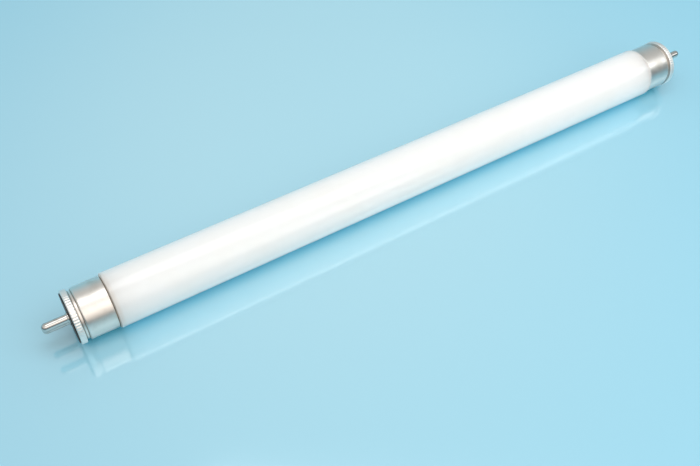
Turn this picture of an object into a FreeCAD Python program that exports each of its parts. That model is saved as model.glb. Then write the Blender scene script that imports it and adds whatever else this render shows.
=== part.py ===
"""Miniature fluorescent lamp: a straight sealed glass tube with a two-pin metal cap at each end.

The lamp lies along X with its middle at the origin and +Z up. Every piece of an end is drawn where it sits
at the +X end and turned half a turn about Z for the -X end, so that both ends share one set of sizes.
Both pairs of pins lie in one plane, which is rolled about the lamp's axis by pin_roll.
"""

import FreeCAD, Part
import os

import Sketcher

# Driving sizes: name, value in millimetres (or a count or degrees), meaning
SIZES = (
    ("face_to_face", 211.5, "length between the outer faces of the two insulating plates"),
    ("glass_diameter", 15.88, "outside of the glass tube"),
    ("glass_wall", 0.8, "thickness of the glass"),
    ("shoulder_bevel", 0.4, "bevel where the tube draws in at a cap"),
    ("seal_depth", 1.5, "thickness along the lamp of the glass that joins neck and stem"),
    ("stem_depth", 9.0, "depth of the stem behind the end of the glass"),
    ("press_length", 4.0, "solid press at the bottom of the stem, which holds the lead wires"),
    ("end_room", 2.5, "room between the end of the glass and the insulating plate"),
    ("cap_wall", 0.3, "sheet thickness of the cap"),
    ("cap_setback", 0.515, "how far the skirt lies inside the surface of the glass"),
    ("cap_gap", 0.15, "open joint between the skirt and the shoulder of the glass"),
    ("skirt_length", 7.98, "straight part of the cap that covers the neck"),
    ("skirt_bevel", 0.3, "bevel on the closed end of the skirt"),
    ("waist_depth", 0.525, "depth of the rolled groove below the skirt"),
    ("waist_width", 0.94, "width of the rolled groove"),
    ("rim_overhang", 0.275, "how far the rim stands out past the skirt"),
    ("lip_width", 0.55, "width of the lip that is turned in over the plate"),
    ("serration_count", 60, "notches round the rim, which meet in ridges"),
    ("serration_depth", 0.14, "depth of a notch"),
    ("cement_thickness", 0.5, "cement between the neck and the skirt"),
    ("cement_recess", 0.3, "how far the cement lies inside the mouth of the skirt"),
    ("cement_length", 4.0, "length of the cement ring"),
    ("plate_flange", 1.08, "thickness of the plate's edge inside the rim"),
    ("plate_proud", 0.3, "how far the plate stands out of the rim"),
    ("plate_fit", 0.05, "clearance round the plate in the rim"),
    ("pin_diameter", 2.35, "outside of a pin"),
    ("pin_spacing", 4.75, "distance between the two pins of an end"),
    ("pin_length", 7.3, "how far a pin stands out of the plate"),
    ("pin_collar_diameter", 3.0, "collar that seats on the plate"),
    ("pin_collar_height", 0.4, "height of that collar"),
    ("pin_tenon_diameter", 1.8, "part of a pin that is pressed into the plate"),
    ("pin_roll", 32, "degrees that the plane of the pins is rolled from upright"),
    ("wire_diameter", 0.5, "lead wire"),
    ("wire_room", 0.25, "room beside a lead wire in the stem"),
)

# Places along the lamp, as distances from its middle
FACE = "(Sizes.face_to_face / 2)"
RIM_FRONT = f"({FACE} - Sizes.plate_proud)"
LIP_BACK = f"({RIM_FRONT} - Sizes.cap_wall)"
PLATE_BACK = f"({LIP_BACK} - Sizes.plate_flange)"
RIM_BACK = f"({PLATE_BACK} - Sizes.cap_wall)"
SKIRT_END = f"({RIM_BACK} - Sizes.waist_width)"
SKIRT_OPEN = f"({SKIRT_END} - Sizes.skirt_length)"
SHOULDER = f"({SKIRT_OPEN} - Sizes.cap_gap)"
GLASS_END = f"({PLATE_BACK} - Sizes.end_room)"
SEAL_BACK = f"({GLASS_END} - Sizes.seal_depth)"
PRESS_TOP = f"({GLASS_END} - Sizes.stem_depth)"
PRESS_FOOT = f"({PRESS_TOP} - Sizes.press_length)"
CEMENT_START = f"({SKIRT_OPEN} + Sizes.cement_recess)"
CEMENT_END = f"({CEMENT_START} + Sizes.cement_length)"
COLLAR_TOP = f"({FACE} + Sizes.pin_collar_height)"
NOSE = f"({FACE} + Sizes.pin_length - Sizes.pin_diameter / 2)"

# Radii about the lamp's axis
GLASS = "(Sizes.glass_diameter / 2)"
GLASS_INSIDE = f"({GLASS} - Sizes.glass_wall)"
SKIRT = f"({GLASS} - Sizes.cap_setback)"
SKIRT_INSIDE = f"({SKIRT} - Sizes.cap_wall)"
NECK = f"({SKIRT_INSIDE} - Sizes.cement_thickness)"
NECK_INSIDE = f"({NECK} - Sizes.glass_wall)"
STEM_INSIDE = "(Sizes.pin_spacing / 2 + Sizes.wire_diameter / 2 + Sizes.wire_room)"
STEM = f"({STEM_INSIDE} + Sizes.glass_wall)"
WAIST = f"({SKIRT} - Sizes.waist_depth)"
WAIST_INSIDE = f"({WAIST} - Sizes.cap_wall)"
RIM = f"({SKIRT} + Sizes.rim_overhang)"
RIM_INSIDE = f"({RIM} - Sizes.cap_wall)"
LIP = f"({RIM} - Sizes.lip_width)"
PLATE_EDGE = f"({RIM_INSIDE} - Sizes.plate_fit)"
PLATE_BOSS = f"({LIP} - Sizes.plate_fit)"

# Radii about a pin's own axis
PIN = "(Sizes.pin_diameter / 2)"
COLLAR = "(Sizes.pin_collar_diameter / 2)"
TENON = "(Sizes.pin_tenon_diameter / 2)"
WIRE = "(Sizes.wire_diameter / 2)"

# A corner with this in place of a size lies on the axis of the sketch
ON_AXIS = None
# A notch is drawn this share wider and higher than its pitch and depth, so that it meets the next one
NOTCH_OVERRUN = 0.15
# Half turns about Z that bring a piece to its end of the lamp
END_TURNS = {"left": 180, "right": 0}
# The side of the lamp's axis on which each pin of an end lies
PIN_SIDES = {"upper": 1, "lower": -1}
# How near an edge lies to the place that it is looked for
EDGE_TOLERANCE = 1e-4

doc = FreeCAD.newDocument("fluorescent_tube")


def make_sheet():
    """Write the driving sizes to a spreadsheet, one row each."""
    sheet = doc.addObject("Spreadsheet::Sheet", "Sizes")
    for row, (alias, size, meaning) in enumerate(SIZES, start=1):
        sheet.set(f"A{row}", meaning)
        sheet.set(f"B{row}", str(size))
        sheet.setAlias(f"B{row}", alias)
    doc.recompute()
    return sheet


def value(expression):
    """Return what an expression over the sheet comes to, or 0 on an axis."""
    if expression is ON_AXIS:
        return 0.0
    return float(doc.Sizes.evalExpression(expression))


def origin_feature(body, role):
    """Return one of a body's own base planes or axes."""
    for feature in body.Origin.OriginFeatures:
        if feature.Role == role:
            return feature
    raise LookupError(role)


def new_body(label):
    """Start a sub-part."""
    body = doc.addObject("PartDesign::Body", label)
    body.Label = label
    return body


def new_sketch(body, name, plane, height=None):
    """Start a sketch on one of a body's base planes, raised along its normal by an expression."""
    sketch = body.newObject("Sketcher::SketchObject", f"{body.Name}_{name}")
    sketch.AttachmentSupport = [(origin_feature(body, plane), "")]
    sketch.MapMode = "FlatFace"
    if height:
        sketch.setExpression("AttachmentOffset.Base.z", height)
    return sketch


def bind_point(sketch, geometry, corner, across, up):
    """Hold one point of a sketch at two expressions from its origin."""
    for kind, axis, expression in (("DistanceX", -2, across), ("DistanceY", -1, up)):
        if expression is ON_AXIS:
            sketch.addConstraint(Sketcher.Constraint("PointOnObject", geometry, corner, axis))
            continue
        size = value(expression)
        index = sketch.addConstraint(Sketcher.Constraint(kind, -1, 1, geometry, corner, size))
        sketch.setExpression(f"Constraints[{index}]", expression)


def draw_outline(sketch, corners):
    """Draw a closed outline of straight sides whose corners are pairs of expressions."""
    places = [FreeCAD.Vector(value(across), value(up), 0) for across, up in corners]
    for index, start in enumerate(places):
        end = places[(index + 1) % len(places)]
        sketch.addGeometry(Part.LineSegment(start, end))
    for index, (across, up) in enumerate(corners):
        before = (index - 1) % len(corners)
        sketch.addConstraint(Sketcher.Constraint("Coincident", before, 2, index, 1))
        bind_point(sketch, index, 1, across, up)


def draw_circle(sketch, across, up, radius):
    """Draw a circle whose centre and radius are expressions."""
    centre = FreeCAD.Vector(value(across), value(up), 0)
    circle = Part.Circle(centre, FreeCAD.Vector(0, 0, 1), value(radius))
    geometry = sketch.addGeometry(circle)
    bind_point(sketch, geometry, 3, across, up)
    index = sketch.addConstraint(Sketcher.Constraint("Radius", geometry, value(radius)))
    sketch.setExpression(f"Constraints[{index}]", radius)


def revolve(body, corners):
    """Turn an outline about X, its corners given as distance along the axis and radius."""
    sketch = new_sketch(body, "section", "XY_Plane")
    draw_outline(sketch, corners)
    feature = body.newObject("PartDesign::Revolution", f"{body.Name}_turned")
    feature.Profile = sketch
    feature.ReferenceAxis = (sketch, ["H_Axis"])
    return finish(body, feature)


def finish(body, feature):
    """Make a feature the body's newest one and work it out."""
    body.Tip = feature
    doc.recompute()
    return feature


def ring_edges(shape, along, radius):
    """Name the round edges about X at a distance from the middle, on either side of it."""
    names = []
    for index, edge in enumerate(shape.Edges, start=1):
        if not isinstance(edge.Curve, Part.Circle):
            continue
        centre = edge.Curve.Center
        off = (abs(abs(centre.x) - value(along)), abs(edge.Curve.Radius - value(radius)))
        if max(off) < EDGE_TOLERANCE and max(abs(centre.y), abs(centre.z)) < EDGE_TOLERANCE:
            names.append(f"Edge{index}")
    if not names:
        raise LookupError(f"no edge at {along}, {radius}")
    return names


def bevel_ring(body, along, radius, size):
    """Bevel the ring edges at a place by an expression."""
    base = body.Tip
    feature = body.newObject("PartDesign::Chamfer", f"{body.Name}_bevel")
    feature.Base = (base, ring_edges(base.Shape, along, radius))
    feature.setExpression("Size", size)
    return finish(body, feature)


def pocket(body, sketch, depth):
    """Cut a sketch's outline towards the lamp's middle and make sure that it cut something."""
    before = body.Tip.Shape.Volume
    feature = body.newObject("PartDesign::Pocket", f"{sketch.Name}_cut")
    feature.Profile = sketch
    feature.setExpression("Length", depth)
    finish(body, feature)
    if feature.Shape.Volume >= before:
        raise RuntimeError(f"{feature.Name} cut nothing")
    return feature


def seat(body, end, offset="0"):
    """Bring a piece to its end of the lamp, lifted off the axis in the plane of the pins."""
    roll = "placement(vector(0; 0; 0); rotationx(Sizes.pin_roll))"
    turn = f"placement(vector(0; 0; 0); rotationz({END_TURNS[end]}))"
    lift = f"placement(vector(0; 0; {offset}); rotationz(0))"
    body.setExpression("Placement", f"{roll} * {turn} * {lift}")


def pin_offset(side):
    """Return the signed distance of a pin from the lamp's axis."""
    return f"({PIN_SIDES[side]} * Sizes.pin_spacing / 2)"


def make_glass_tube():
    """Blow one half of the sealed tube with its stem, and mirror it to the other end."""
    body = new_body("glass_tube")
    half = revolve(body, (
        (ON_AXIS, GLASS_INSIDE),
        (ON_AXIS, GLASS),
        (SHOULDER, GLASS),
        (SHOULDER, NECK),
        (GLASS_END, NECK),
        (GLASS_END, STEM_INSIDE),
        (PRESS_TOP, STEM_INSIDE),
        (PRESS_TOP, ON_AXIS),
        (PRESS_FOOT, ON_AXIS),
        (PRESS_FOOT, STEM),
        (SEAL_BACK, STEM),
        (SEAL_BACK, NECK_INSIDE),
        (f"({SHOULDER} - Sizes.glass_wall)", NECK_INSIDE),
        (f"({SHOULDER} - Sizes.glass_wall)", GLASS_INSIDE),
    ))
    mirror = body.newObject("PartDesign::Mirrored", "glass_tube_both_ends")
    mirror.Originals = [half]
    mirror.MirrorPlane = (origin_feature(body, "YZ_Plane"), [""])
    finish(body, mirror)
    bevel_ring(body, SHOULDER, GLASS, "Sizes.shoulder_bevel")
    return body


def cut_serrations(body):
    """Notch the rim all round, like the edge of a coin."""
    sketch = new_sketch(body, "notch", "YZ_Plane", RIM_FRONT)
    half_mouth = f"(pi * {RIM} / Sizes.serration_count * (1 + {NOTCH_OVERRUN}) ^ 2)"
    mouth = f"({RIM} + Sizes.serration_depth * {NOTCH_OVERRUN})"
    draw_outline(sketch, (
        (ON_AXIS, f"({RIM} - Sizes.serration_depth)"),
        (half_mouth, mouth),
        (f"(-{half_mouth})", mouth),
    ))
    notch = pocket(body, sketch, f"{RIM_FRONT} - {RIM_BACK}")
    ring = body.newObject("PartDesign::PolarPattern", f"{body.Name}_serrations")
    ring.Originals = [notch]
    ring.Axis = (origin_feature(body, "X_Axis"), [""])
    ring.Angle = 360
    ring.setExpression("Occurrences", "Sizes.serration_count")
    finish(body, ring)


def make_end_cap(end):
    """Draw one cap from sheet: skirt, rolled waist, and a serrated rim turned in over the plate."""
    body = new_body(f"end_cap_{end}")
    revolve(body, (
        (SKIRT_OPEN, SKIRT),
        (SKIRT_END, SKIRT),
        (SKIRT_END, WAIST),
        (RIM_BACK, WAIST),
        (RIM_BACK, RIM),
        (RIM_FRONT, RIM),
        (RIM_FRONT, LIP),
        (LIP_BACK, LIP),
        (LIP_BACK, RIM_INSIDE),
        (PLATE_BACK, RIM_INSIDE),
        (PLATE_BACK, WAIST_INSIDE),
        (f"({SKIRT_END} - Sizes.cap_wall)", WAIST_INSIDE),
        (f"({SKIRT_END} - Sizes.cap_wall)", SKIRT_INSIDE),
        (SKIRT_OPEN, SKIRT_INSIDE),
    ))
    bevel_ring(body, SKIRT_END, SKIRT, "Sizes.skirt_bevel")
    cut_serrations(body)
    seat(body, end)
    return body


def make_cement_ring(end):
    """Fill the room between the neck of the glass and the skirt of the cap."""
    body = new_body(f"cement_ring_{end}")
    revolve(body, (
        (CEMENT_START, NECK),
        (CEMENT_START, SKIRT_INSIDE),
        (CEMENT_END, SKIRT_INSIDE),
        (CEMENT_END, NECK),
    ))
    seat(body, end)
    return body


def make_insulating_plate(end):
    """Turn the stepped plate that the rim holds, with a hole for each pin."""
    body = new_body(f"insulating_plate_{end}")
    revolve(body, (
        (PLATE_BACK, ON_AXIS),
        (PLATE_BACK, PLATE_EDGE),
        (LIP_BACK, PLATE_EDGE),
        (LIP_BACK, PLATE_BOSS),
        (FACE, PLATE_BOSS),
        (FACE, ON_AXIS),
    ))
    sketch = new_sketch(body, "pin_holes", "YZ_Plane", FACE)
    for side in PIN_SIDES:
        draw_circle(sketch, ON_AXIS, pin_offset(side), TENON)
    pocket(body, sketch, f"{FACE} - {PLATE_BACK}")
    seat(body, end)
    return body


def make_contact_pin(end, side):
    """Turn one pin: domed nose, collar on the plate, tenon through it."""
    body = new_body(f"contact_pin_{end}_{side}")
    revolve(body, (
        (PLATE_BACK, ON_AXIS),
        (PLATE_BACK, TENON),
        (FACE, TENON),
        (FACE, COLLAR),
        (COLLAR_TOP, COLLAR),
        (COLLAR_TOP, PIN),
        (NOSE, PIN),
        (NOSE, ON_AXIS),
    ))
    dome = body.newObject("PartDesign::AdditiveSphere", f"{body.Name}_nose")
    dome.setExpression("Radius", PIN)
    dome.setExpression("Placement", f"placement(vector({NOSE}; 0; 0); rotationy(90))")
    finish(body, dome)
    seat(body, end, pin_offset(side))
    return body


def make_lead_wire(end, side):
    """Run one wire straight from the press of the stem to the back of its pin."""
    body = new_body(f"lead_wire_{end}_{side}")
    revolve(body, (
        (PRESS_TOP, ON_AXIS),
        (PRESS_TOP, WIRE),
        (PLATE_BACK, WIRE),
        (PLATE_BACK, ON_AXIS),
    ))
    seat(body, end, pin_offset(side))
    return body


def make_lamp():
    """Make every sub-part of the lamp."""
    bodies = [make_glass_tube()]
    for end in END_TURNS:
        bodies.append(make_end_cap(end))
        bodies.append(make_cement_ring(end))
        bodies.append(make_insulating_plate(end))
        for side in PIN_SIDES:
            bodies.append(make_contact_pin(end, side))
            bodies.append(make_lead_wire(end, side))
    doc.recompute()
    return bodies


def check(bodies):
    """Stop if any object failed or any sub-part isn't one valid solid."""
    failed = [item.Name for item in doc.Objects if {"Invalid", "Error"} & set(item.State)]
    if failed:
        raise RuntimeError(f"failed: {failed}")
    for body in bodies:
        shape = body.Shape
        if shape.isNull() or not shape.isValid() or len(shape.Solids) != 1:
            raise RuntimeError(f"{body.Label} is not one valid solid")


def export(bodies):
    """Write one STEP file for each sub-part."""
    os.makedirs("parts", exist_ok=True)
    for body in bodies:
        body.Shape.exportStep(f"parts/{body.Label}.step")


make_sheet()
lamp = make_lamp()
check(lamp)
export(lamp)
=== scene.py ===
"""Looks of a miniature fluorescent lamp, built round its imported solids.

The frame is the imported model's own: metres, +X along the lamp, +Z up, origin at the middle of the lamp. The
glass, the two caps and the four pins are turned surfaces that stand for their solids. The insulating plates,
the cement rings and the lead wires keep their solids and get finishes.
"""

from __future__ import annotations

import logging
import math
from collections.abc import Callable, Mapping, Sequence
from dataclasses import dataclass
from enum import Enum

import bpy
import numpy as np
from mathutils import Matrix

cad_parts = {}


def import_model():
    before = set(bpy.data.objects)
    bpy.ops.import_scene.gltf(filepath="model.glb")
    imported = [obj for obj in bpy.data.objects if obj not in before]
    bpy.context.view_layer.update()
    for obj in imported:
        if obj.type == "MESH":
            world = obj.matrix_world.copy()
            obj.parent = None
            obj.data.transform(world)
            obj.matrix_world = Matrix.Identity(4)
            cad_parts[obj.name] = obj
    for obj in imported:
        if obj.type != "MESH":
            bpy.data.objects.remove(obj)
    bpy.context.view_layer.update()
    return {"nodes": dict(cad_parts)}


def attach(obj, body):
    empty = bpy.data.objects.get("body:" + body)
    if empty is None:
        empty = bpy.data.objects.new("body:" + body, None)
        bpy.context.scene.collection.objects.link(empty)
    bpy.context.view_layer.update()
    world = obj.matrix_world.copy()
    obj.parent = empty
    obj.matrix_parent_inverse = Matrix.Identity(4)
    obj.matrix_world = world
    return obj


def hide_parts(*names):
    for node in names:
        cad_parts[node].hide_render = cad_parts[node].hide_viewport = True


LOG = logging.getLogger("fluorescent_lamp")

# The frame is in metres and every size below is in millimetres
MM = 0.001
# The width of the photograph's frame, in pixels
IMAGE_WIDTH = 700
# The one body that every piece rides on
BODY = "root"

# Points along each rounded corner of a turned section
ARC_STEPS = 7
# A row of points this far from each rounded corner keeps the straight runs flat in shading
SUPPORT_MM = 0.05
# Places that lie closer than this are the same place
SAME_PLACE_MM = 0.001
# Edges that turn by more than this are shaded as sharp
SHARP_ANGLE = math.radians(50.0)

# The direction in which the photograph was taken, in degrees from +Y towards +X
VIEW_HEADING = 31.31

# Settings that many nodes share
SMOOTH = {"interpolation_type": "SMOOTHSTEP"}
COLOURS = {"data_type": "RGBA"}
# Inputs of a Map Range node: a pattern, two levels of it, and what is given at each of them
PATTERN, LOW, HIGH, AT_LOW, AT_HIGH = range(5)
# Inputs of a Mix node for colours: the share of the upper colour, the colour under it, and that colour
SHARE, UNDER, OVER = 0, 6, 7
# Output of a Mix node for colours
BLENDED = 2

# The triangles of a mesh that has none
NO_TRIANGLES = np.empty((0, 3), int)

Inputs = Mapping[str | int, object]
Ripple = Callable[[np.ndarray, np.ndarray, np.ndarray], np.ndarray]


class Named(Enum):
    """A choice whose name stands in the names of the solids."""

    @property
    def word(self) -> str:
        """Return the name as the solids have it."""
        return self.name.lower()


class End(Named):
    """The two ends of the lamp, with the side of the middle on which each lies."""

    LEFT = -1
    RIGHT = 1


class Side(Named):
    """The two pins of an end, with the side of the lamp's axis on which each stands."""

    UPPER = 1
    LOWER = -1


class Slot(Enum):
    """The material slots of the record."""

    GLASS = "coated_glass"
    CAP = "cap_aluminium"
    PIN = "plated_pin"


@dataclass(frozen=True)
class Corner:
    """One corner of a turned section: place along the axis, radius and rounding, in millimetres."""

    along: float
    radius: float
    rounding: float = 0.0


def unit(vectors: np.ndarray) -> np.ndarray:
    """Scale each row to length one."""
    return vectors / np.linalg.norm(vectors, axis=-1, keepdims=True)


def round_section(corners: Sequence[Corner], closed: bool) -> np.ndarray:
    """Round every corner of a section and add a row of points beside each rounding.

    With unit vectors a and b from a corner towards its neighbours and half the angle between them h, an arc
    of radius r starts r / tan(h) along a and ends as far along b. Its centre lies r / sin(h) along their
    bisector.

    Args:
        corners: The section in order. An open one starts and ends on the axis, where nothing is rounded.
        closed: Whether the last corner joins the first one.

    Returns:
        Rows of place along the axis and radius, in millimetres.
    """
    places = np.array([(corner.along, corner.radius) for corner in corners])
    rounding = np.array([corner.rounding for corner in corners])[:, None]
    before, after = np.roll(places, 1, axis=0), np.roll(places, -1, axis=0)
    inner = slice(None) if closed else slice(1, -1)
    middle, rounding = places[inner], rounding[inner]
    to_before, to_after = unit(before[inner] - middle), unit(after[inner] - middle)
    half = np.arccos(np.sum(to_before * to_after, axis=1, keepdims=True)) / 2
    centre = middle + unit(to_before + to_after) * rounding / np.sin(half)
    reach = rounding / np.tan(half)
    first = middle + to_before * reach
    last = middle + to_after * reach
    sweep = math.pi - 2 * half
    share = np.linspace(0.0, 1.0, ARC_STEPS)[None, :]
    from_first = (np.sin(sweep * (1 - share)) / np.sin(sweep))[..., None]
    from_last = (np.sin(sweep * share) / np.sin(sweep))[..., None]
    arcs = centre[:, None] + from_first * (first - centre)[:, None] + from_last * (last - centre)[:, None]
    if closed:
        run_start, run_end = np.roll(last, 1, axis=0), np.roll(first, -1, axis=0)
    else:
        run_start, run_end = np.vstack([places[:1], last[:-1]]), np.vstack([first[1:], places[-1:]])
    rows = np.concatenate([support(first, run_start), arcs, support(last, run_end)], axis=1).reshape(-1, 2)
    return rows if closed else np.vstack([places[:1], rows, places[-1:]])


def support(start: np.ndarray, end: np.ndarray) -> np.ndarray:
    """Find one point on each run, a short way from its start and never past a third of the run.

    Args:
        start: Where each run starts, as rows of place along the axis and radius.
        end: Where each run ends.

    Returns:
        The points, as one row of one point for each run.
    """
    run = end - start
    length = np.linalg.norm(run, axis=1, keepdims=True)
    return (start + run / length * np.minimum(SUPPORT_MM, length / 3))[:, None]


def turn(
    name: str,
    section: np.ndarray,
    columns: int,
    closed: bool,
    axis_mm: tuple[float, float] = (0.0, 0.0),
    ripple: Ripple | None = None,
) -> bpy.types.Object:
    """Carry a section round an axis parallel to X and make it a closed mesh.

    A point at place x, radius r and angle a, counted from +Z towards -Y, lies at (x, -r sin a, r cos a) from
    the axis. A ripple is taken off r before that.

    Args:
        name: The piece's name.
        section: Rows of place along the axis and radius. An open section starts and ends on the axis.
        columns: Points round the axis.
        closed: Whether the section's last row joins its first.
        axis_mm: Where the axis crosses the YZ plane.
        ripple: What is taken off the radius, from the places, the radii and the angles.

    Returns:
        The object, at the origin, with its place in its mesh.
    """
    rows = section if closed else section[1:-1]
    around = np.arange(columns)[None, :] * (2 * math.pi / columns)
    along, radius, angle = np.broadcast_arrays(rows[:, :1], rows[:, 1:], around)
    if ripple is not None:
        radius = radius - ripple(along, radius, angle)
    across = axis_mm[0] - radius * np.sin(angle)
    up = axis_mm[1] + radius * np.cos(angle)
    points = np.stack([along, across, up], axis=-1).reshape(-1, 3)
    index = np.arange(len(rows) * columns).reshape(len(rows), columns)
    here = index if closed else index[:-1]
    there = np.roll(index, -1, axis=0) if closed else index[1:]
    corners = (here, np.roll(here, -1, axis=1), np.roll(there, -1, axis=1), there)
    quads = np.stack([corner.ravel() for corner in corners], axis=1)
    fans = NO_TRIANGLES
    if not closed:
        poles = np.array([[end[0], axis_mm[0], axis_mm[1]] for end in (section[0], section[-1])])
        first, last = index[0], index[-1]
        opening = np.stack([np.full(columns, len(points)), np.roll(first, -1), first], axis=1)
        closing = np.stack([np.full(columns, len(points) + 1), last, np.roll(last, -1)], axis=1)
        fans = np.vstack([opening, closing])
        points = np.vstack([points, poles])
    if enclosed_volume(points, quads, fans) < 0:
        quads, fans = quads[:, ::-1], fans[:, ::-1]
    return put_mesh(name, points * MM, quads, fans)


def enclosed_volume(points: np.ndarray, quads: np.ndarray, fans: np.ndarray) -> float:
    """Add up the signed volumes of the pyramids from the origin to every triangle.

    With corners a, b and c, a pyramid's volume is a sixth of the product of a with the cross product of b
    and c.

    Args:
        points: Rows of x, y and z.
        quads: Rows of four point numbers.
        fans: Rows of three point numbers.

    Returns:
        The volume, which is negative where the faces point inwards.
    """
    triangles = np.vstack([quads[:, :3], quads[:, [0, 2, 3]], fans])
    a, b, c = (points[triangles[:, corner]] for corner in range(3))
    return float(np.sum(a * np.cross(b, c)) / 6)


def put_mesh(name: str, points: np.ndarray, quads: np.ndarray, triangles: np.ndarray) -> bpy.types.Object:
    """Put whole arrays of points and faces into a new mesh object.

    Args:
        name: The object's name.
        points: Rows of x, y and z, in metres.
        quads: Rows of four point numbers.
        triangles: Rows of three point numbers.

    Returns:
        The object, linked to the scene and shaded smooth between its sharp edges.
    """
    mesh = bpy.data.meshes.new(name)
    loops = np.concatenate([quads.ravel(), triangles.ravel()]).astype(np.int32)
    counts = np.repeat([4, 3], [len(quads), len(triangles)])
    starts = np.concatenate([[0], np.cumsum(counts)[:-1]]).astype(np.int32)
    mesh.vertices.add(len(points))
    mesh.vertices.foreach_set("co", points.astype(np.float32).ravel())
    mesh.loops.add(len(loops))
    mesh.loops.foreach_set("vertex_index", loops)
    mesh.polygons.add(len(starts))
    mesh.polygons.foreach_set("loop_start", starts)
    mesh.update(calc_edges=True)
    mesh.validate()
    mesh.shade_smooth()
    mesh.set_sharp_from_angle(angle=SHARP_ANGLE)
    piece = bpy.data.objects.new(name, mesh)
    bpy.context.scene.collection.objects.link(piece)
    return piece


def linear(hex_code: str) -> tuple[float, float, float, float]:
    """Turn an sRGB hex colour into linear light, by the curve of the sRGB standard.

    Args:
        hex_code: A colour such as #F0E8D0.

    Returns:
        Red, green and blue from 0 to 1, and full alpha.
    """
    shares = np.array([int(hex_code[start : start + 2], 16) for start in (1, 3, 5)]) / 255
    levels = np.where(shares <= 0.04045, shares / 12.92, ((shares + 0.055) / 1.055) ** 2.4)
    return (*(float(level) for level in levels), 1.0)


def per_metre(size_mm: float) -> float:
    """Return how many features of a size fit in a metre, which is a pattern's scale."""
    return 1.0 / (size_mm * MM)


def add_node(
    tree: bpy.types.NodeTree,
    kind: str,
    settings: Mapping[str, object] | None = None,
    inputs: Inputs | None = None,
) -> bpy.types.Node:
    """Add one node with its settings, and a value or a link on each input that is named or numbered.

    Args:
        tree: The node tree.
        kind: Blender's name for the node.
        settings: Properties of the node itself.
        inputs: Values or output sockets for the node's inputs.

    Returns:
        The node.
    """
    node = tree.nodes.new(kind)
    for key, setting in (settings or {}).items():
        setattr(node, key, setting)
    for key, given in (inputs or {}).items():
        if isinstance(given, bpy.types.NodeSocket):
            tree.links.new(given, node.inputs[key])
        else:
            node.inputs[key].default_value = given
    return node


def grain(
    tree: bpy.types.NodeTree,
    place: bpy.types.NodeSocket,
    sizes_mm: tuple[float, float, float],
    detail: float = 3.0,
) -> bpy.types.NodeSocket:
    """Return a pattern of clouds, streaks or fibres that has a real size along each axis.

    Args:
        tree: The node tree.
        place: Object coordinates.
        sizes_mm: The pattern's size along X, Y and Z.
        detail: Octaves of finer grain.

    Returns:
        The pattern, from 0 to 1 and mostly near a half.
    """
    scale = tuple(per_metre(size) for size in sizes_mm)
    fitted = add_node(tree, "ShaderNodeMapping", None, {"Vector": place, "Scale": scale})
    inputs = {"Vector": fitted.outputs[0], "Scale": 1.0, "Detail": detail}
    return add_node(tree, "ShaderNodeTexNoise", None, inputs).outputs[0]


def from_middle(tree: bpy.types.NodeTree, place: bpy.types.NodeSocket) -> bpy.types.NodeSocket:
    """Return the distance of a point from the middle of the lamp, along it."""
    parts = add_node(tree, "ShaderNodeSeparateXYZ", None, {0: place})
    return add_node(tree, "ShaderNodeMath", {"operation": "ABSOLUTE"}, {0: parts.outputs["X"]}).outputs[0]


class Finish:
    """A material made of one principled surface."""

    title = "finish"

    def sockets(self, tree: bpy.types.NodeTree, place: bpy.types.NodeSocket) -> Inputs:
        """Return what the surface's sockets get.

        Args:
            tree: The material's node tree.
            place: Object coordinates of the piece that wears it.

        Returns:
            A value or an output socket for each named input.
        """
        raise NotImplementedError

    def material(self) -> bpy.types.Material:
        """Make a material of one surface that gets the finish's sockets.

        Returns:
            The material, named for the finish.
        """
        material = bpy.data.materials.new(self.title)
        material.use_nodes = True
        tree = material.node_tree
        tree.nodes.clear()
        place = add_node(tree, "ShaderNodeTexCoord").outputs["Object"]
        shader = add_node(tree, "ShaderNodeBsdfPrincipled", None, self.sockets(tree, place))
        add_node(tree, "ShaderNodeOutputMaterial", None, {"Surface": shader.outputs["BSDF"]})
        return material


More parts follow.
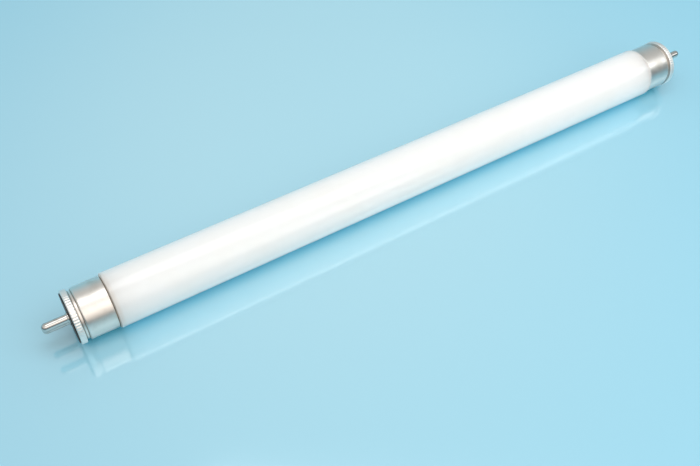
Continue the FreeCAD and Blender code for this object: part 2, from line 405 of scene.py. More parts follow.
@dataclass(frozen=True)
class PhosphorGlass(Finish):
    """Drawn soda-lime glass, coated inside with white phosphor powder.

    The eye sees an even, faintly warm white that thins towards the caps, and a bare brownish edge at each
    shoulder, where the coat stops and the clear glass shows; that edge is also painted darker as painted
    shade of the joint with the cap. Over it all is a hard clear gloss whose highlights waver a little where
    the glass was drawn.
    """

    coat_hex: str = "#F8F8F6"
    cloud_hex: str = "#F5F4F2"
    thin_hex: str = "#F4EBE4"
    # Bare clear glass where the coat stops, painted darker also as painted shade of the joint with the cap
    bare_edge_and_joint_shade_hex: str = "#BFB1A4"
    cloud_mm: float = 11.0
    cloud_levels: tuple[float, float] = (0.35, 0.75)
    thin_at_mm: tuple[float, float] = (92.8, 94.2)
    bare_at_mm: tuple[float, float] = (94.25, 94.55)
    wave_mm: tuple[float, float, float] = (60.0, 5.0, 5.0)
    wave_detail: float = 1.0
    wave_relief_mm: float = 0.006
    powder_roughness: float = 0.6
    powder_glow: float = 0.9
    glow_reach_mm: float = 10.0
    glow_colour: tuple[float, float, float] = (1.0, 1.0, 1.0)
    gloss_roughness: float = 0.02
    glass_ior: float = 1.52
    title = "phosphor_coated_glass"

    def sockets(self, tree: bpy.types.NodeTree, place: bpy.types.NodeSocket) -> Inputs:
        """Return the coat under its glass as one opaque surface.

        Args:
            tree: The material's node tree.
            place: Object coordinates of the piece that wears it.

        Returns:
            A value or an output socket for each named input.
        """
        clouds = grain(tree, place, (self.cloud_mm,) * 3)
        inputs = {PATTERN: clouds, LOW: self.cloud_levels[0], HIGH: self.cloud_levels[1]}
        cloudy = add_node(tree, "ShaderNodeMapRange", SMOOTH, inputs)
        inputs = {SHARE: cloudy.outputs[0], UNDER: linear(self.coat_hex), OVER: linear(self.cloud_hex)}
        coat = add_node(tree, "ShaderNodeMix", COLOURS, inputs)
        along = from_middle(tree, place)
        inputs = {PATTERN: along, LOW: self.thin_at_mm[0] * MM, HIGH: self.thin_at_mm[1] * MM}
        thin = add_node(tree, "ShaderNodeMapRange", SMOOTH, inputs)
        inputs = {SHARE: thin.outputs[0], UNDER: coat.outputs[BLENDED], OVER: linear(self.thin_hex)}
        ends = add_node(tree, "ShaderNodeMix", COLOURS, inputs)
        # The bare edge: clear glass where the coat stops, and partly painted shade of the joint with the cap
        inputs = {PATTERN: along, LOW: self.bare_at_mm[0] * MM, HIGH: self.bare_at_mm[1] * MM}
        bare = add_node(tree, "ShaderNodeMapRange", SMOOTH, inputs)
        inputs = {SHARE: bare.outputs[0], UNDER: ends.outputs[BLENDED], OVER: linear(self.bare_edge_and_joint_shade_hex)}
        colour = add_node(tree, "ShaderNodeMix", COLOURS, inputs)
        waves = grain(tree, place, self.wave_mm, self.wave_detail)
        inputs = {"Height": waves, "Distance": self.wave_relief_mm * MM}
        normal = add_node(tree, "ShaderNodeBump", None, inputs)
        return {
            "Base Color": colour.outputs[BLENDED],
            "Roughness": self.powder_roughness,
            "Subsurface Weight": self.powder_glow,
            "Subsurface Radius": self.glow_colour,
            "Subsurface Scale": self.glow_reach_mm * MM,
            "Specular IOR Level": 0.0,
            "Coat Weight": 1.0,
            "Coat Roughness": self.gloss_roughness,
            "Coat IOR": self.glass_ior,
            "Coat Normal": normal.outputs[0],
        }


@dataclass(frozen=True)
class DrawnAluminium(Finish):
    """Soft aluminium sheet, drawn to a cup, spun at the waist and crimped with a toothed wheel.

    The eye sees a smooth satin grey that follows the light round the cap, with the faintest lines where the
    tool ran round it and dull smudges from handling. The crimped rim is rougher, so it is white from more
    sides, and its colour is painted a lighter grey as painted sheen. The two creases of the waist are painted
    a darker grey as painted shade.
    """

    metal_hex: str = "#E3E0DB"
    smudge_hex: str = "#D4D0C9"
    # Painted sheen: the rim's lighter grey stands for the light it catches
    rim_sheen_hex: str = "#F2F1EE"
    # Painted shade: the darker grey laid in the two creases of the waist
    crease_shade_hex: str = "#9C9187"
    rim_at_mm: tuple[float, float] = (103.74, 103.78)
    waist_at_mm: float = 103.22
    crease_in_mm: tuple[float, float] = (0.12, 0.38)
    crease_out_mm: tuple[float, float] = (0.52, 0.42)
    # Real tool lines are about 0.1 mm apart, and these are drawn wider to show in a picture
    line_mm: float = 0.35
    line_run_mm: float = 12.0
    line_detail: float = 2.0
    line_relief_mm: float = 0.001
    smudge_mm: float = 4.0
    smudge_levels: tuple[float, float] = (0.45, 0.8)
    satin_levels: tuple[float, float] = (0.3, 0.7)
    smooth_roughness: float = 0.3
    rough_roughness: float = 0.36
    rim_roughness: float = 0.42
    title = "satin_drawn_aluminium"

    def sockets(self, tree: bpy.types.NodeTree, place: bpy.types.NodeSocket) -> Inputs:
        """Return the satin sheet with its rim, painted lighter as sheen, and the painted shade in the
        creases.

        Args:
            tree: The material's node tree.
            place: Object coordinates of the piece that wears it.

        Returns:
            A value or an output socket for each named input.
        """
        lines = grain(tree, place, (self.line_mm, self.line_run_mm, self.line_run_mm), self.line_detail)
        smudges = grain(tree, place, (self.smudge_mm,) * 3)
        inputs = {PATTERN: smudges, LOW: self.smudge_levels[0], HIGH: self.smudge_levels[1]}
        smudged = add_node(tree, "ShaderNodeMapRange", SMOOTH, inputs)
        inputs = {SHARE: smudged.outputs[0], UNDER: linear(self.metal_hex), OVER: linear(self.smudge_hex)}
        sheet = add_node(tree, "ShaderNodeMix", COLOURS, inputs)
        along = from_middle(tree, place)
        # Painted sheen: the rim gets a lighter grey than the sheet
        inputs = {PATTERN: along, LOW: self.rim_at_mm[0] * MM, HIGH: self.rim_at_mm[1] * MM}
        rim = add_node(tree, "ShaderNodeMapRange", SMOOTH, inputs)
        inputs = {SHARE: rim.outputs[0], UNDER: sheet.outputs[BLENDED], OVER: linear(self.rim_sheen_hex)}
        unshaded_sheet = add_node(tree, "ShaderNodeMix", COLOURS, inputs)
        # Painted shade, darkest in the two creases on either side of the waist's middle
        inputs = {0: along, 1: self.waist_at_mm * MM}
        past = add_node(tree, "ShaderNodeMath", {"operation": "SUBTRACT"}, inputs)
        aside = add_node(tree, "ShaderNodeMath", {"operation": "ABSOLUTE"}, {0: past.outputs[0]})
        inputs = {PATTERN: aside.outputs[0], LOW: self.crease_in_mm[0] * MM, HIGH: self.crease_in_mm[1] * MM}
        inner = add_node(tree, "ShaderNodeMapRange", SMOOTH, inputs)
        inputs = {
            PATTERN: aside.outputs[0],
            LOW: self.crease_out_mm[0] * MM,
            HIGH: self.crease_out_mm[1] * MM,
        }
        outer = add_node(tree, "ShaderNodeMapRange", SMOOTH, inputs)
        inputs = {0: inner.outputs[0], 1: outer.outputs[0]}
        painted_crease_shade = add_node(tree, "ShaderNodeMath", {"operation": "MULTIPLY"}, inputs)
        inputs = {SHARE: painted_crease_shade.outputs[0], UNDER: unshaded_sheet.outputs[BLENDED], OVER: linear(self.crease_shade_hex)}
        colour = add_node(tree, "ShaderNodeMix", COLOURS, inputs)
        inputs = {
            PATTERN: smudges,
            LOW: self.satin_levels[0],
            HIGH: self.satin_levels[1],
            AT_LOW: self.smooth_roughness,
            AT_HIGH: self.rough_roughness,
        }
        satin = add_node(tree, "ShaderNodeMapRange", SMOOTH, inputs)
        inputs = {"Factor": rim.outputs[0], "A": satin.outputs[0], "B": self.rim_roughness}
        roughness = add_node(tree, "ShaderNodeMix", None, inputs)
        inputs = {"Height": lines, "Distance": self.line_relief_mm * MM}
        normal = add_node(tree, "ShaderNodeBump", None, inputs)
        return {
            "Base Color": colour.outputs[BLENDED],
            "Metallic": 1.0,
            "Roughness": roughness.outputs[0],
            "Normal": normal.outputs[0],
        }


@dataclass(frozen=True)
class NickelPlate(Finish):
    """Bright nickel plated over a turned brass pin.

    The eye sees a near mirror with fine scratches along the pin from going in and out of holders.
    """

    metal_hex: str = "#CCCBC8"
    worn_hex: str = "#B5B2AC"
    # Real scratches are hair-fine, and these are drawn wider to show in a picture
    scratch_mm: float = 0.18
    scratch_run_mm: float = 4.0
    scratch_detail: float = 2.0
    scratch_levels: tuple[float, float] = (0.35, 0.75)
    scratch_relief_mm: float = 0.001
    wear_mm: float = 1.5
    wear_levels: tuple[float, float] = (0.5, 0.8)
    smooth_roughness: float = 0.08
    rough_roughness: float = 0.18
    title = "bright_nickel_plate"

    def sockets(self, tree: bpy.types.NodeTree, place: bpy.types.NodeSocket) -> Inputs:
        """Return the plated surface with its scratches.

        Args:
            tree: The material's node tree.
            place: Object coordinates of the piece that wears it.

        Returns:
            A value or an output socket for each named input.
        """
        sizes = (self.scratch_run_mm, self.scratch_mm, self.scratch_mm)
        scratches = grain(tree, place, sizes, self.scratch_detail)
        patches = grain(tree, place, (self.wear_mm,) * 3)
        inputs = {PATTERN: patches, LOW: self.wear_levels[0], HIGH: self.wear_levels[1]}
        worn = add_node(tree, "ShaderNodeMapRange", SMOOTH, inputs)
        inputs = {SHARE: worn.outputs[0], UNDER: linear(self.metal_hex), OVER: linear(self.worn_hex)}
        colour = add_node(tree, "ShaderNodeMix", COLOURS, inputs)
        inputs = {
            PATTERN: scratches,
            LOW: self.scratch_levels[0],
            HIGH: self.scratch_levels[1],
            AT_LOW: self.smooth_roughness,
            AT_HIGH: self.rough_roughness,
        }
        roughness = add_node(tree, "ShaderNodeMapRange", SMOOTH, inputs)
        inputs = {"Height": scratches, "Distance": self.scratch_relief_mm * MM}
        normal = add_node(tree, "ShaderNodeBump", None, inputs)
        return {
            "Base Color": colour.outputs[BLENDED],
            "Metallic": 1.0,
            "Roughness": roughness.outputs[0],
            "Normal": normal.outputs[0],
        }


@dataclass(frozen=True)
class PhenolicLaminate(Finish):
    """Phenolic resin pressed over layers of paper, stamped to a plate.

    The eye sees a dark brown with short paper fibres in it and a dull polish.
    """

    resin_hex: str = "#21160F"
    fibre_hex: str = "#3D2A1D"
    fibre_mm: float = 0.35
    fibre_run_mm: float = 2.2
    fibre_levels: tuple[float, float] = (0.4, 0.7)
    dull_levels: tuple[float, float] = (0.3, 0.7)
    fibre_relief_mm: float = 0.004
    smooth_roughness: float = 0.38
    rough_roughness: float = 0.6
    title = "phenolic_paper_laminate"

    def sockets(self, tree: bpy.types.NodeTree, place: bpy.types.NodeSocket) -> Inputs:
        """Return the laminate with its fibres.

        Args:
            tree: The material's node tree.
            place: Object coordinates of the piece that wears it.

        Returns:
            A value or an output socket for each named input.
        """
        fibres = grain(tree, place, (self.fibre_mm, self.fibre_run_mm, self.fibre_mm))
        inputs = {PATTERN: fibres, LOW: self.fibre_levels[0], HIGH: self.fibre_levels[1]}
        shown = add_node(tree, "ShaderNodeMapRange", SMOOTH, inputs)
        inputs = {SHARE: shown.outputs[0], UNDER: linear(self.resin_hex), OVER: linear(self.fibre_hex)}
        colour = add_node(tree, "ShaderNodeMix", COLOURS, inputs)
        inputs = {
            PATTERN: fibres,
            LOW: self.dull_levels[0],
            HIGH: self.dull_levels[1],
            AT_LOW: self.smooth_roughness,
            AT_HIGH: self.rough_roughness,
        }
        roughness = add_node(tree, "ShaderNodeMapRange", SMOOTH, inputs)
        inputs = {"Height": fibres, "Distance": self.fibre_relief_mm * MM}
        normal = add_node(tree, "ShaderNodeBump", None, inputs)
        return {
            "Base Color": colour.outputs[BLENDED],
            "Roughness": roughness.outputs[0],
            "Normal": normal.outputs[0],
        }


@dataclass(frozen=True)
class BasingCement(Finish):
    """Resin cement with a mineral filler, baked hard between glass and cap.

    The eye sees a dry beige crust with grit and small pits.
    """

    binder_hex: str = "#B89C78"
    grit_hex: str = "#8A7254"
    grit_mm: float = 0.35
    grit_detail: float = 4.0
    grit_levels: tuple[float, float] = (0.4, 0.65)
    grit_relief_mm: float = 0.05
    roughness: float = 0.9
    title = "baked_basing_cement"

    def sockets(self, tree: bpy.types.NodeTree, place: bpy.types.NodeSocket) -> Inputs:
        """Return the crust with its grit.

        Args:
            tree: The material's node tree.
            place: Object coordinates of the piece that wears it.

        Returns:
            A value or an output socket for each named input.
        """
        grit = grain(tree, place, (self.grit_mm,) * 3, self.grit_detail)
        inputs = {PATTERN: grit, LOW: self.grit_levels[0], HIGH: self.grit_levels[1]}
        shown = add_node(tree, "ShaderNodeMapRange", SMOOTH, inputs)
        inputs = {SHARE: shown.outputs[0], UNDER: linear(self.binder_hex), OVER: linear(self.grit_hex)}
        colour = add_node(tree, "ShaderNodeMix", COLOURS, inputs)
        inputs = {"Height": grit, "Distance": self.grit_relief_mm * MM}
        normal = add_node(tree, "ShaderNodeBump", None, inputs)
        return {
            "Base Color": colour.outputs[BLENDED],
            "Roughness": self.roughness,
            "Normal": normal.outputs[0],
        }


@dataclass(frozen=True)
class CopperCladWire(Finish):
    """Nickel-iron wire in a thin sleeve of copper, drawn through a die.

    The eye sees a warm red metal, dulled in patches by the heat of the seal.
    """

    copper_hex: str = "#C07B58"
    oxide_hex: str = "#7A4A36"
    oxide_mm: float = 1.2
    oxide_levels: tuple[float, float] = (0.45, 0.75)
    roughness: float = 0.32
    title = "copper_clad_wire"

    def sockets(self, tree: bpy.types.NodeTree, place: bpy.types.NodeSocket) -> Inputs:
        """Return the copper with its oxide.

        Args:
            tree: The material's node tree.
            place: Object coordinates of the piece that wears it.

        Returns:
            A value or an output socket for each named input.
        """
        patches = grain(tree, place, (self.oxide_mm,) * 3)
        inputs = {PATTERN: patches, LOW: self.oxide_levels[0], HIGH: self.oxide_levels[1]}
        shown = add_node(tree, "ShaderNodeMapRange", SMOOTH, inputs)
        inputs = {SHARE: shown.outputs[0], UNDER: linear(self.copper_hex), OVER: linear(self.oxide_hex)}
        colour = add_node(tree, "ShaderNodeMix", COLOURS, inputs)
        return {"Base Color": colour.outputs[BLENDED], "Metallic": 1.0, "Roughness": self.roughness}


@dataclass(frozen=True)
class PaleTable(Finish):
    """Pale blue plastic laminate with a polish.

    The eye sees a blue that mirrors what lies on it. Its colour is painted darker towards the edges as
    painted shade, and a deeper blue is painted in as painted shade where ambient occlusion shows that little
    light gets in.
    """

    blue_hex: str = "#A8DFF2"
    # Painted shade: the darker blue towards the edges stands for light falling off
    edge_shade_hex: str = "#90D5EF"
    # Painted shade: the deeper blue laid where ambient occlusion finds little light
    ao_painted_shade_hex: str = "#6CDAFC"
    heading: float = VIEW_HEADING
    middle_mm: tuple[float, float, float] = (-4.8, 49.8, -7.94)
    reach_mm: tuple[float, float, float] = (145.0, 200.0, 100.0)
    # Where the painted edge shade starts and is full, in reaches from the middle
    edge_shade_levels: tuple[float, float] = (0.2, 1.2)
    shade_reach_mm: float = 9.0
    open_share: float = 0.6
    shut_share: float = 0.12
    roughness: float = 0.3
    polish_roughness: float = 0.1
    polish_ior: float = 2.6
    title = "pale_table_laminate"

    def sockets(self, tree: bpy.types.NodeTree, place: bpy.types.NodeSocket) -> Inputs:
        """Return the laminate of the table with its painted shade.

        Args:
            tree: The material's node tree.
            place: Object coordinates of the piece that wears it.

        Returns:
            A value or an output socket for each named input.
        """
        # Painted shade: the blue darkens towards the edges of a spot round the lamp
        inputs = {
            "Vector": place,
            "Location": tuple(part * MM for part in self.middle_mm),
            "Rotation": (0.0, 0.0, -math.radians(self.heading)),
            "Scale": tuple(part * MM for part in self.reach_mm),
        }
        spot = add_node(tree, "ShaderNodeMapping", {"vector_type": "TEXTURE"}, inputs)
        far = add_node(tree, "ShaderNodeVectorMath", {"operation": "LENGTH"}, {0: spot.outputs[0]})
        inputs = {PATTERN: far.outputs["Value"], LOW: self.edge_shade_levels[0], HIGH: self.edge_shade_levels[1]}
        fade = add_node(tree, "ShaderNodeMapRange", SMOOTH, inputs)
        inputs = {SHARE: fade.outputs[0], UNDER: linear(self.blue_hex), OVER: linear(self.edge_shade_hex)}
        pale = add_node(tree, "ShaderNodeMix", COLOURS, inputs)
        # Painted shade: ambient occlusion mixes in the deeper blue near the lamp and under it
        inputs = {"Distance": self.shade_reach_mm * MM}
        light = add_node(tree, "ShaderNodeAmbientOcclusion", None, inputs)
        inputs = {PATTERN: light.outputs["AO"], LOW: self.open_share, HIGH: self.shut_share}
        shade = add_node(tree, "ShaderNodeMapRange", SMOOTH, inputs)
        inputs = {SHARE: shade.outputs[0], UNDER: pale.outputs[BLENDED], OVER: linear(self.ao_painted_shade_hex)}
        colour = add_node(tree, "ShaderNodeMix", COLOURS, inputs)
        return {
            "Base Color": colour.outputs[BLENDED],
            "Roughness": self.roughness,
            "Specular IOR Level": 0.0,
            "Coat Weight": 1.0,
            "Coat Roughness": self.polish_roughness,
            "Coat IOR": self.polish_ior,
        }


@dataclass(frozen=True)
class Finishes:
    """The materials that both ends share."""

    aluminium: bpy.types.Material
    laminate: bpy.types.Material
    cement: bpy.types.Material
    nickel: bpy.types.Material
    wire: bpy.types.Material

    @classmethod
    def make(cls) -> Finishes:
        """Make each shared material once.

        Returns:
            The set of them.
        """
        return cls(
            DrawnAluminium().material(),
            PhenolicLaminate().material(),
            BasingCement().material(),
            NickelPlate().material(),
            CopperCladWire().material(),
        )


def wear(piece: bpy.types.Object, material: bpy.types.Material) -> None:
    """Put one material on a piece in place of what it has.

    Args:
        piece: The piece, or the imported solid.
        material: Its finish.
    """
    piece.data.materials.clear()
    piece.data.materials.append(material)
    LOG.info("%s wears %s", piece.name, material.name)


def settle(piece: bpy.types.Object, node: str) -> None:
    """Let a new piece ride on the lamp and stand for one of its solids.

    Args:
        piece: The new piece.
        node: The solid that it stands for.
    """
    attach(piece, BODY)
    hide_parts(node)
    LOG.info("%s stands for %s with %d faces", piece.name, node, len(piece.data.polygons))


@dataclass
class GlassTube:
    """The sealed tube: drawn in at both ends to a neck, with a stem that is set back into each neck."""

    radius: float = 7.94
    shoulder_at: float = 94.70
    shoulder_round: float = 0.5
    neck_radius: float = 6.625
    neck_round: float = 0.3
    end_at: float = 101.57
    stem_radius: float = 2.875
    stem_foot: float = 92.57
    columns: int = 320

    def half(self) -> list[Corner]:
        """List the section of the right half.

        Returns:
            Its corners, from the tube's shoulder to the axis.
        """
        return [
            Corner(self.shoulder_at, self.radius, self.shoulder_round),
            Corner(self.shoulder_at, self.neck_radius, self.neck_round),
            Corner(self.end_at, self.neck_radius, self.neck_round),
            Corner(self.end_at, self.stem_radius, self.neck_round),
            Corner(self.stem_foot, self.stem_radius, self.neck_round),
            Corner(self.stem_foot, 0.0),
        ]

    def build(self) -> bpy.types.Object:
        """Turn the section of both halves into one closed skin.

        Returns:
            The tube.
        """
        right = self.half()
        left = [Corner(-corner.along, corner.radius, corner.rounding) for corner in reversed(right)]
        piece = turn("lamp_glass", round_section(left + right, False), self.columns, False)
        settle(piece, "glass_tube")
        return piece

    def dress(self, piece: bpy.types.Object) -> None:
        """Coat the tube."""
        wear(piece, PhosphorGlass().material())


@dataclass
class EndCap:
    """One cap: skirt over the neck, rolled waist, and a serrated rim that is turned in over the plate."""

    end: End
    skirt_open: float = 94.85
    skirt_end: float = 102.83
    rim_back: float = 103.77
    rim_front: float = 105.45
    wall: float = 0.3
    skirt_radius: float = 7.425
    waist_radius: float = 6.9
    rim_radius: float = 7.7
    lip_radius: float = 7.15
    mouth_round: float = 0.12
    skirt_round: float = 0.45
    crease_round: float = 0.055
    waist_round: float = 0.22
    rim_round: float = 0.3
    inside_round: float = 0.1
    lip_round: float = 0.05
    serrations: int = 60
    serration_depth: float = 0.12
    serration_turn: float = 32.0
    # The notches start this far under the rim's crest, and have their full depth this much further out
    serration_start: float = 0.2
    serration_rise: float = 0.15
    points_per_serration: int = 8

    def section(self) -> list[Corner]:
        """List the closed section of the sheet, on the cap's own side of the middle.

        Returns:
            Its corners, outside first.
        """
        side = self.end.value
        inside = self.inside_round
        plate_back = self.rim_back + self.wall
        lip_back = self.rim_front - self.wall
        skirt_back = self.skirt_end - self.wall
        places = (
            (self.skirt_open, self.skirt_radius, self.mouth_round),
            (self.skirt_end, self.skirt_radius, self.skirt_round),
            (self.skirt_end, self.waist_radius, self.crease_round),
            (self.rim_back, self.waist_radius, self.waist_round),
            (self.rim_back, self.rim_radius, self.rim_round),
            (self.rim_front, self.rim_radius, self.rim_round),
            (self.rim_front, self.lip_radius, self.mouth_round),
            (lip_back, self.lip_radius, inside),
            (lip_back, self.rim_radius - self.wall, self.lip_round),
            (plate_back, self.rim_radius - self.wall, inside),
            (plate_back, self.waist_radius - self.wall, inside),
            (skirt_back, self.waist_radius - self.wall, inside),
            (skirt_back, self.skirt_radius - self.wall, inside),
            (self.skirt_open, self.skirt_radius - self.wall, self.mouth_round),
        )
        return [Corner(side * along, radius, rounding) for along, radius, rounding in places]

    def serration(self, along: np.ndarray, radius: np.ndarray, angle: np.ndarray) -> np.ndarray:
        """Return the depth of the notches, deepest midway between ridges and only on the rim's outside.

        The notch is a triangle wave of the angle. It fades out over the rim's rounded edges.

        Args:
            along: Places along the lamp, in millimetres.
            radius: Radii before the notches.
            angle: Angles round the lamp.

        Returns:
            What is taken off each radius.
        """
        phase = (angle - math.radians(self.serration_turn)) * self.serrations / (2 * math.pi)
        ridge = 2 * np.abs(phase - np.round(phase))
        out = radius - self.rim_radius + self.serration_start
        fade = np.clip(out / self.serration_rise, 0.0, 1.0)
        on_rim = np.abs(along) > self.rim_back - SAME_PLACE_MM
        return self.serration_depth * (1 - ridge) * fade * on_rim

    def build(self) -> bpy.types.Object:
        """Turn the sheet's section and notch its rim.

        Returns:
            The cap.
        """
        name = f"cap_shell_{self.end.word}"
        columns = self.serrations * self.points_per_serration
        piece = turn(name, round_section(self.section(), True), columns, True, ripple=self.serration)
        settle(piece, f"end_cap_{self.end.word}")
        return piece

    def dress(
        self, piece: bpy.types.Object, nodes: Mapping[str, bpy.types.Object], finishes: Finishes
    ) -> None:
        """Give the cap, its plate and its cement their finishes.

        Args:
            piece: The cap.
            nodes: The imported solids.
            finishes: The lamp's materials.
        """
        wear(piece, finishes.aluminium)
        wear(nodes[f"insulating_plate_{self.end.word}"], finishes.laminate)
        wear(nodes[f"cement_ring_{self.end.word}"], finishes.cement)


@dataclass
class PinPair:
    """The two pins of an end: a domed nose, a straight shank, and a collar that seats on the plate."""

    end: End
    spacing: float = 4.75
    roll: float = 32.0
    plate_back: float = 104.07
    face_at: float = 105.75
    tip_at: float = 113.05
    radius: float = 1.175
    nose_round: float = 1.12
    collar_radius: float = 1.5
    collar_height: float = 0.4
    collar_round: float = 0.14
    root_round: float = 0.08
    tenon_radius: float = 0.9
    columns: int = 72

    def section(self) -> list[Corner]:
        """List the section of a pin, on the pair's own side of the middle.

        Returns:
            Its corners, from the tenon's end to the tip.
        """
        side = self.end.value
        collar_top = self.face_at + self.collar_height
        places = (
            (self.plate_back, 0.0, 0.0),
            (self.plate_back, self.tenon_radius, self.root_round),
            (self.face_at, self.tenon_radius, self.root_round),
            (self.face_at, self.collar_radius, self.root_round),
            (collar_top, self.collar_radius, self.collar_round),
            (collar_top, self.radius, self.root_round),
            (self.tip_at, self.radius, self.nose_round),
            (self.tip_at, 0.0, 0.0),
        )
        return [Corner(side * along, radius, rounding) for along, radius, rounding in places]

    def axis(self, pin: Side) -> tuple[float, float]:
        """Work out where a pin stands: half the spacing s out, along a line rolled by r from +Z towards -Y.

        Args:
            pin: The upper or the lower pin, with its sign.

        Returns:
            Y and Z of its axis: the sign times s / 2 times (-sin r, cos r).
        """
        reach = pin.value * self.spacing / 2
        roll = math.radians(self.roll)
        return (-reach * math.sin(roll), reach * math.cos(roll))

    def build(self) -> list[bpy.types.Object]:
        """Turn both pins.

        Returns:
            The upper pin and the lower one.
        """
        rows = round_section(self.section(), False)
        pieces = []
        for pin in Side:
            name = f"pin_{self.end.word}_{pin.word}"
            piece = turn(name, rows, self.columns, False, self.axis(pin))
            settle(piece, f"contact_{name}")
            pieces.append(piece)
        return pieces

    def dress(
        self, pieces: Sequence[bpy.types.Object], nodes: Mapping[str, bpy.types.Object], finishes: Finishes
    ) -> None:
        """Give the pins and their lead wires their finishes.

        Args:
            pieces: The pins.
            nodes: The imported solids.
            finishes: The lamp's materials.
        """
        for piece in pieces:
            wear(piece, finishes.nickel)
        for pin in Side:
            wear(nodes[f"lead_wire_{self.end.word}_{pin.word}"], finishes.wire)


@dataclass
class Table:
    """The plain pale surface that the lamp lies on, touching the lowest line of the glass."""

    height: float = -7.94
    half_side: float = 3000.0

    def build(self) -> None:
        """Lay one square at the lamp's foot."""
        signs = np.array([[-1, -1], [1, -1], [1, 1], [-1, 1]])
        points = np.column_stack([signs * self.half_side, np.full(4, self.height)])
        floor = put_mesh("pale_table", points * MM, np.array([[0, 1, 2, 3]]), NO_TRIANGLES)
        wear(floor, PaleTable().material())


@dataclass
class PhotoCamera:
    """The photograph's own viewpoint, worked out from the lamp's outline, joints and pins."""

    place_mm: tuple[float, float, float] = (-111.27, -150.50, 179.83)
    heading: float = VIEW_HEADING
    pitch: float = 48.07
    focal_pixels: float = 846.9
    sensor_mm: float = 36.0
    nearest_mm: float = 10.0

    def build(self) -> None:
        """Set up the camera and make it the scene's."""
        lens = bpy.data.cameras.new("photo_camera")
        lens.sensor_fit = "HORIZONTAL"
        lens.sensor_width = self.sensor_mm
        lens.lens = self.focal_pixels * self.sensor_mm / IMAGE_WIDTH
        lens.clip_start = self.nearest_mm * MM
        camera = bpy.data.objects.new("photo_camera", lens)
        camera.location = [part * MM for part in self.place_mm]
        camera.rotation_euler = (math.radians(90.0 - self.pitch), 0.0, math.radians(-self.heading))
        bpy.context.scene.collection.objects.link(camera)
        bpy.context.scene.camera = camera


def bearings(heading: float) -> tuple[tuple[float, float, float], tuple[float, float, float]]:
    """Work out the two level directions that a heading h gives.

    Args:
        heading: Degrees from +Y towards +X.

    Returns:
        The direction to its right, (cos h, -sin h, 0), and the one ahead, (sin h, cos h, 0).
    """
    turned = math.radians(heading)
    right = (math.cos(turned), -math.sin(turned), 0.0)
    ahead = (math.sin(turned), math.cos(turned), 0.0)
    return right, ahead


@dataclass
class SoftBox:
    """A soft box at a place to the right, ahead and up, as seen along its heading.

    Its long side is level and square to the heading, and it is tilted about that side. Its face fades out
    between two distances from its middle, in half sides.
    """

    title: str
    place_mm: tuple[float, float, float]
    sides_mm: tuple[float, float]
    tilt: float
    radiance: float
    fade_span: tuple[float, float]
    tint_hex: str = "#FFFFFF"
    heading: float = VIEW_HEADING

    def build(self) -> None:
        """Hang the light, with a power of pi times area times the radiance at the middle of its face."""
        lamp = bpy.data.lights.new(self.title, "AREA")
        lamp.shape = "RECTANGLE"
        lamp.size = self.sides_mm[0] * MM
        lamp.size_y = self.sides_mm[1] * MM
        lamp.energy = self.radiance * math.pi * lamp.size * lamp.size_y
        self.fade(lamp)
        light = bpy.data.objects.new(self.title, lamp)
        right, ahead = bearings(self.heading)
        up = (0.0, 0.0, 1.0)
        light.location = np.array(self.place_mm) @ np.array([right, ahead, up]) * MM
        light.rotation_euler = (math.radians(self.tilt), 0.0, -math.radians(self.heading))
        bpy.context.scene.collection.objects.link(light)
        LOG.info("%s hangs %s mm to the right, ahead and up", self.title, self.place_mm)

    def fade(self, lamp: bpy.types.AreaLight) -> None:
        """Dim the face from its middle to its edges, by the distance from the middle in half sides.

        Args:
            lamp: The light whose face is dimmed.
        """
        lamp.use_nodes = True
        tree = lamp.node_tree
        tree.nodes.clear()
        spot = add_node(tree, "ShaderNodeNewGeometry").outputs["Parametric"]
        middle, half_sides = (0.5, 0.5, 0.0), (0.5, 0.5, 1.0)
        inputs = {"Vector": spot, "Location": middle, "Scale": half_sides}
        centred = add_node(tree, "ShaderNodeMapping", {"vector_type": "TEXTURE"}, inputs)
        out = add_node(tree, "ShaderNodeVectorMath", {"operation": "LENGTH"}, {0: centred.outputs[0]})
        inputs = {
            PATTERN: out.outputs["Value"],
            LOW: self.fade_span[0],
            HIGH: self.fade_span[1],
            AT_LOW: 1.0,
            AT_HIGH: 0.0,
        }
        share = add_node(tree, "ShaderNodeMapRange", SMOOTH, inputs)
        inputs = {"Color": linear(self.tint_hex), "Strength": share.outputs[0]}
        face = add_node(tree, "ShaderNodeEmission", None, inputs)
        add_node(tree, "ShaderNodeOutputLight", None, {"Surface": face.outputs[0]})


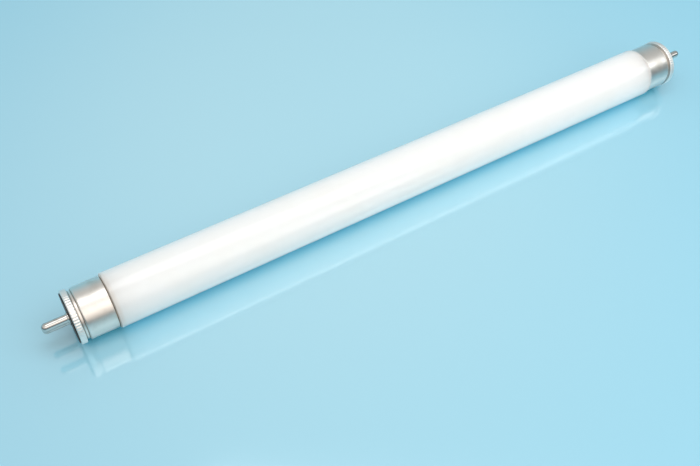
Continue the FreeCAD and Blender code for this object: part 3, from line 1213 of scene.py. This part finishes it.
@dataclass
class StudioTent:
    """Pale cloth round the table, blue where it meets the table, and dark low down behind the viewer.

    The light of a direction goes by its height, the sine of its elevation, and by how far it points ahead of
    the viewer. To the viewer's right it dims.
    """

    heading: float = VIEW_HEADING
    far_low_hex: str = "#A6D2E1"
    far_high_hex: str = "#D2D0CD"
    far_heights: tuple[float, float] = (0.1, 0.8)
    near_low_hex: str = "#686969"
    near_high_hex: str = "#E8E6E2"
    near_heights: tuple[float, float] = (0.05, 0.65)
    near_to_far: tuple[float, float] = (-0.4, 0.3)
    left_to_right: tuple[float, float] = (-0.4, 0.4)
    left_strength: float = 1.0
    right_strength: float = 0.84

    def build(self) -> None:
        """Colour the world by a direction's height and by how far it points ahead and to the right."""
        world = bpy.data.worlds.new("studio_tent")
        world.use_nodes = True
        tree = world.node_tree
        tree.nodes.clear()
        ray = add_node(tree, "ShaderNodeTexCoord").outputs["Generated"]
        height = add_node(tree, "ShaderNodeSeparateXYZ", None, {0: ray}).outputs["Z"]
        right, ahead = bearings(self.heading)
        onward = add_node(tree, "ShaderNodeVectorMath", {"operation": "DOT_PRODUCT"}, {0: ray, 1: ahead})
        inputs = {PATTERN: height, LOW: self.far_heights[0], HIGH: self.far_heights[1]}
        far_up = add_node(tree, "ShaderNodeMapRange", SMOOTH, inputs)
        inputs = {
            SHARE: far_up.outputs[0],
            UNDER: linear(self.far_low_hex),
            OVER: linear(self.far_high_hex),
        }
        far = add_node(tree, "ShaderNodeMix", COLOURS, inputs)
        inputs = {PATTERN: height, LOW: self.near_heights[0], HIGH: self.near_heights[1]}
        near_up = add_node(tree, "ShaderNodeMapRange", SMOOTH, inputs)
        inputs = {
            SHARE: near_up.outputs[0],
            UNDER: linear(self.near_low_hex),
            OVER: linear(self.near_high_hex),
        }
        near = add_node(tree, "ShaderNodeMix", COLOURS, inputs)
        inputs = {PATTERN: onward.outputs["Value"], LOW: self.near_to_far[0], HIGH: self.near_to_far[1]}
        away = add_node(tree, "ShaderNodeMapRange", SMOOTH, inputs)
        inputs = {SHARE: away.outputs[0], UNDER: near.outputs[BLENDED], OVER: far.outputs[BLENDED]}
        cloth = add_node(tree, "ShaderNodeMix", COLOURS, inputs)
        aside = add_node(tree, "ShaderNodeVectorMath", {"operation": "DOT_PRODUCT"}, {0: ray, 1: right})
        inputs = {
            PATTERN: aside.outputs["Value"],
            LOW: self.left_to_right[0],
            HIGH: self.left_to_right[1],
            AT_LOW: self.left_strength,
            AT_HIGH: self.right_strength,
        }
        strength = add_node(tree, "ShaderNodeMapRange", SMOOTH, inputs)
        inputs = {"Color": cloth.outputs[BLENDED], "Strength": strength.outputs[0]}
        light = add_node(tree, "ShaderNodeBackground", None, inputs)
        add_node(tree, "ShaderNodeOutputWorld", None, {"Surface": light.outputs[0]})
        bpy.context.scene.world = world


# One long light overhead and to the right, one high in front of the lamp and one low in front of it
SOFT_BOXES = (
    SoftBox(
        title="soft_box_over",
        place_mm=(451.5, 9.0, 500.0),
        sides_mm=(1200.0, 255.0),
        tilt=0.0,
        radiance=2.0,
        fade_span=(1.5, 1.6),
        heading=37.3,
    ),
    SoftBox(
        title="soft_box_front",
        place_mm=(140.0, -420.0, 530.0),
        sides_mm=(1000.0, 620.0),
        tilt=38.4,
        radiance=1.22,
        fade_span=(0.0, 1.0),
        tint_hex="#FFF9F2",
    ),
    SoftBox(
        title="soft_box_low",
        place_mm=(310.0, -280.0, 150.0),
        sides_mm=(760.0, 380.0),
        tilt=64.0,
        radiance=2.1,
        fade_span=(0.0, 1.0),
        tint_hex="#FFF0E4",
    ),
)


def main() -> None:
    """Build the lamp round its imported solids, then the table, the light and the camera."""
    logging.basicConfig(level=logging.INFO, format="%(name)s: %(message)s")
    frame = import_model()
    bpy.context.scene.view_settings.view_transform = "Standard"
    finishes = Finishes.make()
    tube = GlassTube()
    tube.dress(tube.build())
    for end in End:
        cap = EndCap(end)
        cap.dress(cap.build(), frame["nodes"], finishes)
        pins = PinPair(end)
        pins.dress(pins.build(), frame["nodes"], finishes)
    Table().build()
    StudioTent().build()
    for soft_box in SOFT_BOXES:
        soft_box.build()
    PhotoCamera().build()


if __name__ == "__main__":
    main()
